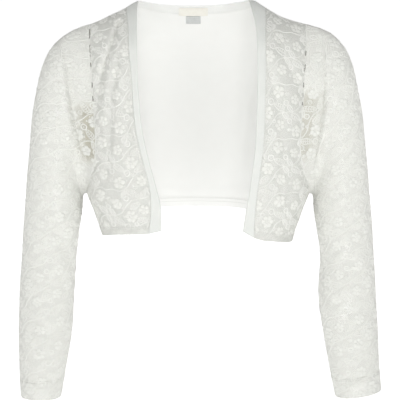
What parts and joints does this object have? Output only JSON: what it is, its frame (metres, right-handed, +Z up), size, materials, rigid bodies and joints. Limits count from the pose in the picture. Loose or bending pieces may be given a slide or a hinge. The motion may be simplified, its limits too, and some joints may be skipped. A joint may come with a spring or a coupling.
{
  "type": "bolero",
  "caption": "Cropped open-front bolero in floral lace over a jersey lining, with long narrow unlined lace sleeves and jersey-bound front and neck edges.",
  "frame": {"origin": "midway between the two neck points at the top of the shoulders, where the wearer's shoulders hold it", "axes": "+Z up, +Y towards the wearer's back, +X to the wearer's left"},
  "size_m": [0.4985, 0.1753, 0.5403],
  "materials": {
    "lace": "white stretch lace, denser flowers on fine net",
    "jersey": "matt white fine jersey",
    "neck_label": "woven cream ribbon, bare",
    "size_label": "woven grey ribbon, bare"
  },
  "bodies": {
    "root": {"lace_back": "lace", "lace_front_right": "lace", "lace_front_left": "lace", "sleeve_right": "lace", "sleeve_left": "lace", "lining_back": "jersey", "lining_front_right": "jersey", "lining_front_left": "jersey", "band_right": "jersey", "band_left": "jersey", "neck_band": "jersey", "neck_label": "neck_label", "size_label": "size_label"}
  },
  "joints": []
}
